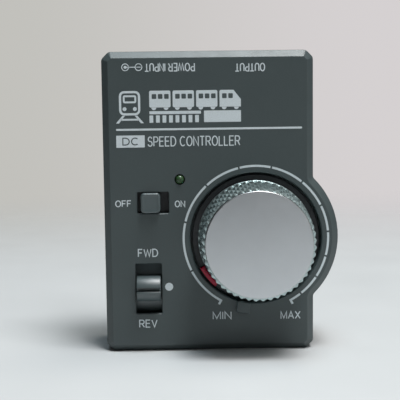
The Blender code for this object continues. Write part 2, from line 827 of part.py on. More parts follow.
def switch_frame(name, size, window, place):
    """A folded metal box, open to the board, with a window that the stem slides in."""
    outline = rectangle(*size)
    inner = rectangle(size[0] - 2 * SWITCH_WALL, size[1] - 2 * SWITCH_WALL)
    sections = [
        (outline, SWITCH_FRONT_Y),
        (outline, SWITCH_BACK_Y),
        (inner, SWITCH_BACK_Y),
        (inner, SWITCH_FRONT_Y + SWITCH_WALL),
    ]
    frame = add(name, loft(sections), plated_steel(), (place[0], 0, place[1]))
    hole = block((window[0], 4 * SWITCH_WALL, window[1]), (0, SWITCH_FRONT_Y, 0))
    cut(frame, name + "_window", hole, (place[0], 0, place[1]))


def switch_slider(name, size, slide):
    """The sliding contact carrier with the stem that its cap is pressed on."""
    front = SWITCH_FRONT_Y + SWITCH_WALL + GAP
    body = rectangle(*size)
    stem = rectangle(STEM, STEM)
    sections = [(body, front + 2 * MM), (body, front), (stem, front), (stem, STEM_TIP_Y)]
    add(name, loft(sections), black_plastic(), slide.location, parent=slide)


def switch_pins(name, columns, rows, pitch, row_gap, place, along_x):
    """Contact pins between the slider and the board."""
    front = SWITCH_BACK_Y - 1 * MM
    length = SWITCH_BACK_Y - front
    for index in range(columns * rows):
        along = (index % columns - (columns - 1) / 2) * pitch
        across = (index // columns - (rows - 1) / 2) * row_gap
        x, z = (along, across) if along_x else (across, along)
        pin = block((0.8 * MM, length, 0.8 * MM), (0, front + length / 2, 0))
        add(f"{name}_{index + 1}", pin, brass(), (place[0] + x, 0, place[1] + z))


def direction_switch():
    slide = axis_empty("direction_switch_slide", (DIRECTION_X, 0, DIRECTION_Z))
    half_width = DIRECTION_SLOT[0] / 2 + 0.5 * MM
    cap = add("direction_switch_cap", prism_x(shield_outline(), half_width), cap_plastic(), slide.location,
              parent=slide)
    join(cap, "direction_hump", prism_x(hump_outline(), DIRECTION_CAP_WIDTH / 2), slide.location)
    cut(cap, "direction_stem_socket", stem_socket(), slide.location)
    frame_size = (8.6 * MM, 17 * MM)
    window = (STEM + 1 * MM, STEM + 2 * DIRECTION_TRAVEL + 1 * MM)
    switch_frame("direction_switch_frame", frame_size, window, (DIRECTION_X, DIRECTION_Z))
    switch_slider("direction_switch_slider", (6 * MM, 8 * MM), slide)
    switch_pins("direction_switch_pin", 3, 2, 4 * MM, 4 * MM, (DIRECTION_X, DIRECTION_Z), False)


def shield_outline():
    """The curved plate behind the slot, bulging towards the panel, as (y, z) points."""
    spread = math.degrees(math.asin(SHIELD_HALF_LENGTH / SHIELD_CURVE_RADIUS))
    centre = (SHIELD_FRONT_Y + SHIELD_CURVE_RADIUS, 0)
    front = arc(centre, SHIELD_CURVE_RADIUS, 180 - spread, 180 + spread, 12)
    back = arc(centre, SHIELD_CURVE_RADIUS - SHIELD_THICKNESS, 180 + spread, 180 - spread, 12)
    return front + back


def hump_outline():
    """The half-round thumb piece with a groove along its crest, as (y, z) points."""
    radius = DIRECTION_CAP_RADIUS
    centre_y = DIRECTION_CAP_CENTRE_Y
    groove = 7  # degrees each side of the crest
    root = SHIELD_FRONT_Y + 0.5 * SHIELD_THICKNESS
    upper = arc((centre_y, 0), radius, 90, 180 - groove, 8)
    lower = arc((centre_y, 0), radius, 180 + groove, 270, 8)
    middle = arc((centre_y, 0), radius - 0.8 * MM, 180 - 0.6 * groove, 180 + 0.6 * groove, 2)
    return [(root, radius)] + upper + middle + lower + [(root, -radius)]


def lamp():
    """A small round lamp with a domed tip, on two leads."""
    tip = FRONT_Y - 0.8 * MM
    dome_centre = tip + LAMP_RADIUS
    flange_y = PANEL_BACK_Y + 1.5 * MM
    profile = []
    for step in range(1, 6):
        angle = math.radians(90 * step / 5)
        profile.append((LAMP_RADIUS * math.sin(angle), dome_centre - LAMP_RADIUS * math.cos(angle)))
    profile += [(LAMP_RADIUS, flange_y), (1.9 * MM, flange_y), (1.9 * MM, flange_y + 1 * MM)]
    add("lamp_lens", turned(profile, 20), lamp_green(), (LAMP_X, 0, LAMP_Z))
    lead_front = flange_y + 1 * MM + GAP
    lead_back = BOARD_FRONT_Y - GAP
    for index, side in enumerate((-1, 1)):
        lead = block((0.5 * MM, lead_back - lead_front, 0.5 * MM), (0, (lead_front + lead_back) / 2, 0))
        add(f"lamp_lead_{index + 1}", lead, plated_steel(), (LAMP_X + side * 1.25 * MM, 0, LAMP_Z))


# Board and what is on it ------------------------------------------------------------


def main_board():
    """The board, narrower above so that it clears the upper screw bosses."""
    wide, narrow = 31 * MM, 23.5 * MM
    bottom, shoulder, top = 13 * MM, 86 * MM, 96.5 * MM
    outline = [
        (-wide, bottom),
        (wide, bottom),
        (wide, shoulder),
        (narrow, shoulder),
        (narrow, top),
        (-narrow, top),
        (-narrow, shoulder),
        (-wide, shoulder),
    ]
    board = add("main_board", loft([(outline, BOARD_FRONT_Y), (outline, BOARD_BACK_Y)]), board_green())
    for index, (x, z) in enumerate(BOARD_SCREWS):
        hole = turned([(1.1 * MM, BOARD_FRONT_Y - 1 * MM), (1.1 * MM, BOARD_BACK_Y + 1 * MM)], 14)
        cut(board, f"board_hole_{index + 1}", hole, (x, 0, z))


def standing(x, z_top):
    """Place and turn for a piece made along -Y that opens upwards below the top wall."""
    return (x, TOP_HOLE_Y, z_top), (math.radians(-90), 0, 0)


def dc_jack():
    """The power inlet: a block with a round well and a centre pin."""
    top = CASE_HEIGHT - WALL - GAP
    place, turn = standing(JACK_X, top)
    depth = JACK_SIZE[1]
    bore_depth = 9.5 * MM
    outer = squared_circle(JACK_SIZE[0] / 2, 24)
    bore = circle(JACK_BORE, 24)
    body = loft([(outer, depth), (outer, 0), (bore, 0), (bore, bore_depth)])
    add("dc_jack_body", body, black_plastic(), place, turn)
    pin = [(1.05 * MM, bore_depth - GAP), (1.05 * MM, 2.3 * MM), (0.6 * MM, 1.8 * MM)]
    add("dc_jack_pin", turned(pin, 16), plated_steel(), place, turn)


def squared_circle(half, count):
    """Evenly turned points on a square."""
    points = []
    for x, z in circle(1, count):
        reach = half / max(abs(x), abs(z))
        points.append((x * reach, z * reach))
    return points


def output_socket():
    """The track output: a shrouded socket with two pins."""
    top = CASE_HEIGHT - WALL - GAP
    place, turn = standing(SOCKET_X, top)
    outer = rectangle(SOCKET_SIZE[0], 9 * MM)
    cavity = rectangle(SOCKET_OPENING[0] - 0.4 * MM, SOCKET_OPENING[1] - 0.4 * MM)
    floor = 9.5 * MM
    body = loft([(outer, SOCKET_SIZE[1]), (outer, 0), (cavity, 0), (cavity, floor)])
    add("output_socket_housing", body, black_plastic(), place, turn)
    for index, side in enumerate((-1, 1)):
        pin = turned([(0.5 * MM, floor - GAP), (0.5 * MM, 5.6 * MM), (0.25 * MM, 5.2 * MM)], 12)
        pin_place = (place[0] + side * 2.2 * MM, place[1], place[2])
        add(f"output_pin_{index + 1}", pin, brass(), pin_place, turn)


def power_parts():
    """The capacitor, transistor with its heat sink, chip, fuse and diode behind the board."""
    back = BOARD_BACK_Y + GAP
    lying = (math.radians(90), 0, 0)
    can = [(3.4 * MM, 0), (4 * MM, 0.6 * MM), (4 * MM, 11.4 * MM), (3.4 * MM, 12 * MM)]
    add("filter_capacitor", turned(can, 24), capacitor_sleeve(), (-12 * MM, back + 4 * MM, 76 * MM), lying)
    transistor = block((10 * MM, 4.4 * MM, 9 * MM))
    add("power_transistor", transistor, black_plastic(), (13.5 * MM, back + 2.2 * MM, 72 * MM))
    sink_y = back + 4.4 * MM + GAP
    add("heat_sink", heat_sink_mesh(), aluminium(), (13.5 * MM, sink_y, 72 * MM))
    chip = block((9.4 * MM, 3.4 * MM, 6.4 * MM))
    add("control_chip", chip, black_plastic(), (-10 * MM, back + 1.7 * MM, 48 * MM))
    fuse = turned([(3.3 * MM, 0), (3.6 * MM, 0.4 * MM), (3.6 * MM, 2 * MM), (3.3 * MM, 2.4 * MM)], 20)
    add("resettable_fuse", fuse, fuse_yellow(), (-22 * MM, back, 62 * MM))
    profile = [(1.1 * MM, -2.5 * MM), (1.3 * MM, -2.3 * MM), (1.3 * MM, 2.3 * MM), (1.1 * MM, 2.5 * MM)]
    place = (-2 * MM, back + 1.4 * MM, 88 * MM)
    add("protection_diode", turned(profile, 14), black_plastic(), place, (0, 0, math.radians(90)))


def heat_sink_mesh():
    """A comb of fins along Z: a base plate with upright fins behind it."""
    half, base, fin, reach = 10 * MM, 1.2 * MM, 1 * MM, 5 * MM
    fins = 6
    pitch = (2 * half - fin) / (fins - 1)
    points = [(-half, 0), (half, 0)]
    for index in range(fins):
        right = half - index * pitch
        left = right - fin
        points += [(right, reach), (left, reach)]
        if index < fins - 1:
            points += [(left, base), (right - pitch, base)]
    return extrude_z(points, 9 * MM)


def extrude_z(outline, half_height):
    """A body along Z from (x, y) points."""
    mesh = bmesh.new()
    low = [mesh.verts.new((x, y, -half_height)) for x, y in outline]
    high = [mesh.verts.new((x, y, half_height)) for x, y in outline]
    for index in range(len(outline)):
        after = (index + 1) % len(outline)
        mesh.faces.new((low[index], low[after], high[after], high[index]))
    mesh.faces.new(low)
    mesh.faces.new(high)
    bmesh.ops.recalc_face_normals(mesh, faces=mesh.faces)
    return mesh


def main():
    clear_scene()
    front_case()
    rear_cover()
    feet()
    rating_label()
    screws()
    speed_knob()
    potentiometer()
    power_switch()
    direction_switch()
    lamp()
    main_board()
    dc_jack()
    output_socket()
    power_parts()


main()
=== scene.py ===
import json
import math

import bmesh
import bpy
from mathutils import Matrix, Vector


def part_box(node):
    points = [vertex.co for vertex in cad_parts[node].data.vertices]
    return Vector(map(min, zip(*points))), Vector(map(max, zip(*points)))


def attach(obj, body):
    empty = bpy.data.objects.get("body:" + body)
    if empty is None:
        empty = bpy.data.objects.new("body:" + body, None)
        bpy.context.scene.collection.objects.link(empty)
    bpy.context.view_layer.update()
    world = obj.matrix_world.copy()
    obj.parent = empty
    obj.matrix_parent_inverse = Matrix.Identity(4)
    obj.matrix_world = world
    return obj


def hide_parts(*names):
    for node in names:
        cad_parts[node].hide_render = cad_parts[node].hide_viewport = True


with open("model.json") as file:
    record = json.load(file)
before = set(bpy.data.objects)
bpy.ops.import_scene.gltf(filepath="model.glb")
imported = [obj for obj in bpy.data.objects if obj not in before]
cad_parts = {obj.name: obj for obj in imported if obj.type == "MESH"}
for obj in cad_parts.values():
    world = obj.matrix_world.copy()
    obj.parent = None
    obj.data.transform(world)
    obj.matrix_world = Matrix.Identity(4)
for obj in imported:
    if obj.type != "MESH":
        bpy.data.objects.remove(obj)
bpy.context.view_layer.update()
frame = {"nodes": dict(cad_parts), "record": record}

# Looks of a hand-held speed controller for a model railway: a moulded grey case with printed
# legends, a chromed knurled speed knob with a satin face, two slide switches and a lamp.
# Metres, +Z up along the case, -Y out of the front panel.

MM = 0.001

INDEX_BLOCK_RISE = 1.6 * MM
PANEL_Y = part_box("front_case")[0].y + INDEX_BLOCK_RISE

INK_FRONT = PANEL_Y - 0.03 * MM
INK_BACK = PANEL_Y + 0.03 * MM


def centre_of(node):
    low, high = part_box(node)
    return (low + high) / 2


KNOB = centre_of("knob_disc")


# Materials ---------------------------------------------------------------------


class Finish:
    """One procedural material: a Principled shader and the textures that drive it."""

    def __init__(self, name, colour, roughness, metallic=0.0):
        self.material = bpy.data.materials.new(name)
        self.material.use_nodes = True
        self.tree = self.material.node_tree
        self.shader = self.tree.nodes["Principled BSDF"]
        self.set("Base Color", (*colour, 1))
        self.set("Roughness", roughness)
        self.set("Metallic", metallic)
        self.colour = colour
        self.bump = None
        self.place = self.node("ShaderNodeTexCoord").outputs["Object"]

    def set(self, name, value):
        self.shader.inputs[name].default_value = value

    def node(self, kind, **settings):
        made = self.tree.nodes.new(kind)
        for name, value in settings.items():
            setattr(made, name, value)
        return made

    def link(self, start, end):
        self.tree.links.new(start, end)

    def stretched(self, scale):
        """The object's coordinates with each axis scaled, for grain in one direction."""
        mapping = self.node("ShaderNodeMapping")
        mapping.inputs["Scale"].default_value = scale
        self.link(self.place, mapping.inputs["Vector"])
        return mapping.outputs["Vector"]

    def noise(self, size, detail=2.0, place=None, rough=0.5):
        """Noise whose features are about size metres across."""
        made = self.node("ShaderNodeTexNoise")
        made.inputs["Scale"].default_value = 1 / size
        made.inputs["Detail"].default_value = detail
        made.inputs["Roughness"].default_value = rough
        self.link(place or self.place, made.inputs["Vector"])
        return made.outputs["Fac"]

    def cells(self, size, feature="F1"):
        made = self.node("ShaderNodeTexVoronoi", feature=feature)
        made.inputs["Scale"].default_value = 1 / size
        self.link(self.place, made.inputs["Vector"])
        return made.outputs["Distance"]

    def spread(self, value, low, high, from_low=0.3, from_high=0.7):
        """Map a texture's value to the range low to high."""
        made = self.node("ShaderNodeMapRange")
        made.inputs["From Min"].default_value = from_low
        made.inputs["From Max"].default_value = from_high
        made.inputs["To Min"].default_value = low
        made.inputs["To Max"].default_value = high
        self.link(value, made.inputs["Value"])
        return made.outputs["Result"]

    def mixed(self, factor, first, second):
        """A colour between two, where either may be a colour or an output."""
        made = self.node("ShaderNodeMix", data_type="RGBA")
        self.link(factor, made.inputs[0])
        for socket, value in ((made.inputs[6], first), (made.inputs[7], second)):
            if isinstance(value, tuple):
                socket.default_value = (*value, 1)
            else:
                self.link(value, socket)
        return made.outputs[2]

    def shaded(self, amount):
        return tuple(min(1.0, channel * amount) for channel in self.colour)

    def vary(self, value, darker=0.92, lighter=1.08):
        """Shift the base colour darker and lighter with a texture."""
        self.paint(self.mixed(value, self.shaded(darker), self.shaded(lighter)))

    def paint(self, colour):
        self.link(colour, self.shader.inputs["Base Color"])

    def roughen(self, value):
        self.link(value, self.shader.inputs["Roughness"])

    def relief(self, value, depth, strength=1.0):
        """Add surface relief of the given depth in metres, on top of what is there."""
        made = self.node("ShaderNodeBump")
        made.inputs["Distance"].default_value = depth
        made.inputs["Strength"].default_value = strength
        self.link(value, made.inputs["Height"])
        if self.bump is not None:
            self.link(self.bump, made.inputs["Normal"])
        self.bump = made.outputs["Normal"]
        self.link(self.bump, self.shader.inputs["Normal"])


def case_plastic():
    """Moulded plastic with a fine spark-eroded texture and faint handling marks."""
    finish = Finish("case_plastic", (0.050, 0.066, 0.068), 0.44)
    broad = finish.noise(18 * MM, 3)
    grain = finish.noise(0.22 * MM, 2, rough=0.6)
    speckle = finish.mixed(finish.spread(grain, 0, 1), finish.shaded(0.93), finish.shaded(1.07))
    tone = finish.mixed(finish.spread(broad, 0, 0.35), speckle, finish.shaded(1.1))
    finish.paint(tone)
    wear = finish.noise(5 * MM, 4, rough=0.65)
    finish.roughen(finish.spread(wear, 0.40, 0.50, 0.25, 0.75))
    finish.relief(grain, 0.010 * MM, 0.5)
    finish.set("Specular IOR Level", 0.55)
    return finish.material


def cap_plastic():
    """The switch caps: the same grey, moulded smooth and polished by thumbs."""
    finish = Finish("cap_plastic", (0.047, 0.068, 0.072), 0.46)
    rub = finish.noise(2.5 * MM, 4, rough=0.6)
    finish.vary(finish.spread(rub, 0, 1), 0.97, 1.04)
    finish.roughen(finish.spread(rub, 0.42, 0.5))
    finish.relief(finish.noise(0.3 * MM, 2), 0.002 * MM, 0.3)
    finish.set("Specular IOR Level", 1.0)
    return finish.material


def dark_plastic():
    finish = Finish("dark_plastic", (0.013, 0.014, 0.016), 0.5)
    finish.vary(finish.noise(3 * MM, 3), 0.8, 1.25)
    finish.roughen(finish.spread(finish.noise(1.2 * MM, 3), 0.42, 0.58))
    finish.relief(finish.noise(0.16 * MM, 2), 0.006 * MM, 0.6)
    return finish.material


def knurl_chrome():
    """Bright plating over the knurl, a little duller in random patches."""
    finish = Finish("knurl_chrome", (0.42, 0.51, 0.51), 0.42, 1.0)
    stain = finish.noise(1.1 * MM, 3, rough=0.6)
    finish.vary(finish.spread(stain, 0, 1), 0.84, 1.08)
    finish.roughen(finish.spread(finish.noise(0.5 * MM, 3), 0.38, 0.46))
    finish.relief(finish.noise(0.09 * MM, 2), 0.002 * MM, 0.4)
    return finish.material


def satin_face():
    """The knob's face: a satin metal disc with a very fine blasted grain."""
    finish = Finish("satin_face", (0.60, 0.62, 0.64), 0.47, 1.0)
    smear = finish.noise(9 * MM, 3)
    finish.vary(finish.spread(smear, 0, 1), 0.985, 1.015)
    finish.roughen(finish.spread(finish.noise(2.5 * MM, 4, rough=0.6), 0.44, 0.5))
    finish.relief(finish.noise(0.07 * MM, 2), 0.0015 * MM, 0.35)
    return finish.material


def polished_edge():
    finish = Finish("polished_edge", (0.52, 0.53, 0.54), 0.38, 1.0)
    finish.vary(finish.noise(2 * MM, 2), 0.95, 1.03)
    finish.roughen(finish.spread(finish.noise(0.7 * MM, 3), 0.34, 0.43))
    return finish.material


def pointer_red():
    finish = Finish("pointer_red", (0.30, 0.003, 0.026), 0.5)
    finish.vary(finish.noise(1.5 * MM, 3), 0.88, 1.1)
    finish.roughen(finish.spread(finish.noise(0.8 * MM, 3), 0.45, 0.55))
    finish.relief(finish.noise(0.12 * MM, 2), 0.003 * MM, 0.3)
    finish.set("Specular IOR Level", 0.25)
    finish.set("Coat Weight", 0.35)
    finish.set("Coat Roughness", 0.06)
    return finish.material


def lamp_lens():
    """Green-tinted resin with a soft coat, unlit."""
    finish = Finish("lamp_green", (0.022, 0.060, 0.018), 0.4)
    finish.vary(finish.noise(0.9 * MM, 2), 0.7, 1.3)
    finish.roughen(finish.spread(finish.noise(0.5 * MM, 2), 0.36, 0.46))
    finish.set("Coat Weight", 0.15)
    finish.set("Coat Roughness", 0.15)
    finish.set("Subsurface Weight", 0.15)
    finish.set("Subsurface Scale", 0.0008)
    return finish.material


def print_ink():
    """Pale screen ink, with the slight unevenness of a print on textured plastic."""
    finish = Finish("print_ink", (0.60, 0.66, 0.685), 0.5)
    patch = finish.noise(0.35 * MM, 3, rough=0.6)
    finish.vary(finish.spread(patch, 0, 1), 0.9, 1.06)
    finish.roughen(finish.spread(patch, 0.44, 0.58))
    finish.relief(finish.noise(0.15 * MM, 2), 0.004 * MM, 0.5)
    return finish.material


def reverse_ink():
    """The case's own grey, where it shows through the print."""
    finish = Finish("reverse_ink", (0.060, 0.078, 0.080), 0.5)
    finish.vary(finish.noise(0.4 * MM, 2), 0.9, 1.1)
    finish.roughen(finish.spread(finish.noise(0.3 * MM, 2), 0.42, 0.56))
    return finish.material


def plated_steel(name="plated_steel", colour=(0.50, 0.50, 0.48), roughness=0.32):
    finish = Finish(name, colour, roughness, 1.0)
    finish.vary(finish.noise(0.9 * MM, 3, rough=0.6), 0.85, 1.1)
    lines = finish.noise(0.3 * MM, 3, finish.stretched((1, 0.08, 1)))
    finish.roughen(finish.spread(lines, roughness - 0.08, roughness + 0.12))
    finish.relief(lines, 0.003 * MM, 0.4)
    return finish.material


def contact_brass():
    return plated_steel("contact_brass", (0.62, 0.44, 0.18), 0.3)


def ribbed_aluminium():
    return plated_steel("ribbed_aluminium", (0.60, 0.61, 0.62), 0.38)


def foot_rubber():
    finish = Finish("foot_rubber", (0.016, 0.016, 0.017), 0.82)
    finish.vary(finish.noise(1.5 * MM, 4, rough=0.65), 0.75, 1.7)
    finish.roughen(finish.spread(finish.noise(0.6 * MM, 3), 0.72, 0.9))
    finish.relief(finish.noise(0.2 * MM, 3, rough=0.65), 0.015 * MM, 0.6)
    return finish.material


def label_film():
    """A blank silvery polyester label with a soft sheen."""
    finish = Finish("label_film", (0.30, 0.31, 0.32), 0.42)
    finish.vary(finish.noise(6 * MM, 3), 0.95, 1.05)
    lines = finish.noise(0.25 * MM, 2, finish.stretched((0.05, 1, 1)))
    finish.roughen(finish.spread(lines, 0.36, 0.48))
    finish.relief(finish.noise(2.2 * MM, 2), 0.01 * MM, 0.3)
    finish.set("Metallic", 0.35)
    return finish.material


def board_laminate():
    """Solder mask over copper tracks."""
    finish = Finish("board_laminate", (0.008, 0.075, 0.03), 0.35)
    tracks = finish.spread(finish.cells(3 * MM, "DISTANCE_TO_EDGE"), 0, 1, 0.05, 0.08)
    finish.paint(finish.mixed(tracks, (0.02, 0.13, 0.05), finish.shaded(1)))
    finish.roughen(finish.spread(finish.noise(1.5 * MM, 3), 0.28, 0.42))
    finish.relief(tracks, 0.02 * MM, 0.5)
    return finish.material


def capacitor_sleeve():
    finish = Finish("capacitor_sleeve", (0.015, 0.022, 0.10), 0.3)
    finish.vary(finish.noise(2 * MM, 3), 0.85, 1.15)
    finish.roughen(finish.spread(finish.noise(1 * MM, 3), 0.24, 0.38))
    finish.relief(finish.noise(1.4 * MM, 2), 0.02 * MM, 0.3)
    return finish.material


def fuse_resin():
    finish = Finish("fuse_resin", (0.48, 0.28, 0.025), 0.45)
    finish.vary(finish.noise(0.8 * MM, 3), 0.85, 1.12)
    finish.roughen(finish.spread(finish.noise(0.6 * MM, 3), 0.38, 0.54))
    finish.relief(finish.noise(0.5 * MM, 3), 0.02 * MM, 0.4)
    return finish.material


FADE_CENTRE = (0, -0.4, 0)
FADE_START, FADE_END = 0.5, 0.95


def floor_paper():
    """Pale matt paper that fades out with distance from a point in front of the object."""
    finish = Finish("floor_paper", (0.53, 0.545, 0.55), 0.45)
    grain = finish.noise(0.4, 3)
    finish.vary(finish.spread(grain, 0, 1), 0.985, 1.015)
    finish.roughen(finish.spread(finish.noise(0.03, 3), 0.42, 0.5))
    finish.relief(finish.noise(0.6 * MM, 3), 0.02 * MM, 0.2)
    away = finish.node("ShaderNodeVectorMath", operation="DISTANCE")
    finish.link(finish.place, away.inputs[0])
    away.inputs[1].default_value = FADE_CENTRE
    fading = finish.node("ShaderNodeMapRange", interpolation_type="SMOOTHSTEP")
    fading.inputs["From Min"].default_value = FADE_START
    fading.inputs["From Max"].default_value = FADE_END
    finish.link(away.outputs["Value"], fading.inputs["Value"])
    fade = fading.outputs["Result"]
    clear = finish.node("ShaderNodeBsdfTransparent")
    blend = finish.node("ShaderNodeMixShader")
    finish.link(fade, blend.inputs[0])
    finish.link(finish.shader.outputs[0], blend.inputs[1])
    finish.link(clear.outputs[0], blend.inputs[2])
    output = finish.tree.nodes["Material Output"]
    finish.link(blend.outputs[0], output.inputs["Surface"])
    return finish.material


# Mesh helpers -------------------------------------------------------------------


def arc(centre, radius, start, end, steps):
    """Points along a circle in the panel's plane, angles in degrees, both ends included."""
    points = []
    for step in range(steps + 1):
        angle = math.radians(start + (end - start) * step / steps)
        points.append((centre[0] + radius * math.cos(angle), centre[1] + radius * math.sin(angle)))
    return points


def rounded(low, high, corner, steps=4):
    """A rounded rectangle's outline between two corners."""
    (left, bottom), (right, top) = low, high
    points = []
    for x, z, start in (
        (right - corner, top - corner, 0),
        (left + corner, top - corner, 90),
        (left + corner, bottom + corner, 180),
        (right - corner, bottom + corner, 270),
    ):
        points += arc((x, z), corner, start, start + 90, steps)
    return points


def new_object(name, mesh, material, body, smooth_angle=35):
    data = bpy.data.meshes.new(name)
    mesh.to_mesh(data)
    mesh.free()
    data.shade_smooth()
    data.set_sharp_from_angle(angle=math.radians(smooth_angle))
    for one in material if isinstance(material, list) else [material]:
        data.materials.append(one)
    made = bpy.data.objects.new(name, data)
    bpy.context.scene.collection.objects.link(made)
    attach(made, body)
    return made


def loft(mesh, sections, closed=False, finish=0):
    """Add a body through (outline, y) sections: capped at both ends, or a closed ring."""
    rings = [[mesh.verts.new((x, y, z)) for x, z in outline] for outline, y in sections]
    count = len(rings[0])
    pairs = list(zip(rings, rings[1:]))
    if closed:
        pairs.append((rings[-1], rings[0]))
    faces = []
    for near, far in pairs:
        for index in range(count):
            after = (index + 1) % count
            faces.append(mesh.faces.new((near[index], near[after], far[after], far[index])))
    if not closed:
        faces.append(mesh.faces.new(rings[0]))
        faces.append(mesh.faces.new(rings[-1]))
    for face in faces:
        face.material_index = finish
    bmesh.ops.recalc_face_normals(mesh, faces=mesh.faces)


# Printed legends ------------------------------------------------------------------


def ink_plate(mesh, outline, front=INK_FRONT):
    """One raised patch of ink with the given outline on the front panel."""
    loft(mesh, [(outline, front), (outline, INK_BACK)])


def bow(centre, across, up, start, end, steps=10):
    """Points along part of an ellipse, angles in degrees."""
    points = []
    for step in range(steps + 1):
        angle = math.radians(start + (end - start) * step / steps)
        points.append((centre[0] + across * math.cos(angle), centre[1] + up * math.sin(angle)))
    return points


def letter_strokes():
    """Plain capitals as a width and strokes, in units of the letters' height."""
    return {
        "A": (0.70, [[(0, 0), (0.35, 1), (0.70, 0)], [(0.13, 0.34), (0.57, 0.34)]]),
        "C": (0.68, [bow((0.37, 0.5), 0.37, 0.5, 48, 312, 20)]),
        "D": (0.66, [[(0, 0), (0, 1), (0.28, 1)] + bow((0.28, 0.5), 0.38, 0.5, 90, -90, 14)[1:] + [(0, 0)]]),
        "E": (0.56, [[(0.56, 1), (0, 1), (0, 0), (0.56, 0)], [(0, 0.53), (0.50, 0.53)]]),
        "F": (0.54, [[(0.54, 1), (0, 1), (0, 0)], [(0, 0.51), (0.47, 0.51)]]),
        "I": (0.0, [[(0, 0), (0, 1)]]),
        "L": (0.50, [[(0, 1), (0, 0), (0.50, 0)]]),
        "M": (0.76, [[(0, 0), (0, 1), (0.38, 0.08), (0.76, 1), (0.76, 0)]]),
        "N": (0.64, [[(0, 0), (0, 1), (0.64, 0), (0.64, 1)]]),
        "O": (0.74, [bow((0.37, 0.5), 0.37, 0.5, 0, 360, 28)]),
        "P": (0.58, [[(0, 0), (0, 1), (0.32, 1)] + bow((0.32, 0.73), 0.26, 0.27, 90, -90)[1:] + [(0, 0.46)]]),
        "R": (0.62, [
            [(0, 0), (0, 1), (0.35, 1)] + bow((0.35, 0.74), 0.25, 0.26, 90, -90)[1:] + [(0, 0.48)],
            [(0.33, 0.48), (0.62, 0)],
        ]),
        "S": (0.58, [
            bow((0.29, 0.755), 0.25, 0.245, 15, 250, 12) + bow((0.29, 0.26), 0.29, 0.26, 68, -165, 12),
        ]),
        "T": (0.62, [[(0, 1), (0.62, 1)], [(0.31, 1), (0.31, 0)]]),
        "U": (0.62, [[(0, 1)] + bow((0.31, 0.31), 0.31, 0.31, 180, 360, 12) + [(0.62, 1)]]),
        "V": (0.68, [[(0, 1), (0.34, 0), (0.68, 1)]]),
        "W": (0.96, [[(0, 1), (0.24, 0), (0.48, 0.92), (0.72, 0), (0.96, 1)]]),
        "X": (0.64, [[(0, 0), (0.64, 1)], [(0, 1), (0.64, 0)]]),
        " ": (0.16, []),
    }


LETTER_GAP = 0.24


def ribbon(points, half):
    """The outline of a line of even width through the points, mitred at its corners."""
    closed = (Vector(points[0]) - Vector(points[-1])).length < half * 0.1
    if closed:
        points = points[:-1]
    count = len(points)
    left, right = [], []
    for index in range(count):
        here = Vector(points[index])
        before = Vector(points[index - 1]) if closed or index > 0 else None
        after = Vector(points[(index + 1) % count]) if closed or index < count - 1 else None
        arriving = (here - before).normalized() if before is not None else (after - here).normalized()
        leaving = (after - here).normalized() if after is not None else arriving
        along = (arriving + leaving).normalized()
        side = Vector((-along.y, along.x))
        reach = half / max(0.45, side.dot(Vector((-leaving.y, leaving.x))))
        left.append(tuple(here + side * reach))
        right.append(tuple(here - side * reach))
    return left, right, closed


def lettering(name, text, low, high, material, upside_down=False, stroke=0.36 * MM, front=INK_FRONT):
    """A line of plain capitals that fills the box from low to high on the panel."""
    letters = letter_strokes()
    half = stroke / 2
    total = sum(letters[one][0] + LETTER_GAP for one in text) - LETTER_GAP
    wide, tall = high[0] - low[0] - stroke, high[1] - low[1] - stroke
    middle = ((low[0] + high[0]) / 2, (low[1] + high[1]) / 2)
    turn = -1 if upside_down else 1
    mesh = bmesh.new()
    pen = 0.0
    level = 0
    for one in text:
        width, strokes = letters[one]
        for points in strokes:
            placed = []
            for across, up in points:
                x = ((pen + across) / total - 0.5) * wide
                z = (up - 0.5) * tall
                placed.append((middle[0] + turn * x, middle[1] + turn * z))
            left, right, closed = ribbon(placed, half)
            nearer = front - 0.002 * MM * (level % 2)
            level += 1
            if closed:
                loft(mesh, [(left, nearer), (left, INK_BACK), (right, INK_BACK), (right, nearer)], True)
            else:
                loft(mesh, [(left + right[::-1], nearer), (left + right[::-1], INK_BACK)])
        pen += width + LETTER_GAP
    new_object(name, mesh, material, "case")


def millimetres(*values):
    return tuple(value * MM for value in values)


def text_print(name, text, box, material, **options):
    """Lettering in a box of left, bottom, right and top, in millimetres."""
    left, bottom, right, top = millimetres(*box)
    lettering(name, text, (left, bottom), (right, top), material, **options)


def legends(ink):
    text_print("print_off", "OFF", (-31.2, 49.2, -25.8, 51.5), ink, stroke=0.33 * MM)
    text_print("print_on", "ON", (-11.4, 48.9, -7.9, 51.2), ink, stroke=0.33 * MM)
    text_print("print_forward", "FWD", (-24.0, 32.3, -17.2, 35.1), ink)
    text_print("print_reverse", "REV", (-24.0, 8.2, -17.8, 11.0), ink)
    text_print("print_min", "MIN", (0.8, 10.6, 7.2, 13.4), ink)
    text_print("print_max", "MAX", (23.7, 10.4, 30.5, 13.2), ink)
    text_print("print_input", "POWER INPUT", (-20.7, 93.8, -4.1, 96.6), ink, upside_down=True)
    text_print("print_output", "OUTPUT", (9.0, 93.5, 19.0, 96.3), ink, upside_down=True)
    text_print("print_title", "SPEED CONTROLLER", (-20.1, 69.2, 10.6, 72.6), ink)


SCALE_RADIUS = 24.2 * MM
SCALE_LINE = 0.73 * MM
SCALE_START = 241.4
SCALE_GAP = 0.6 * MM
SCALE_STEPS = (34.8, 40.1, 33.9, 29.3, 25.8, 27.2, 24.1, 21.7, 19.8, 18.3, 18.2, 10.6)
TICK = 1.1 * MM


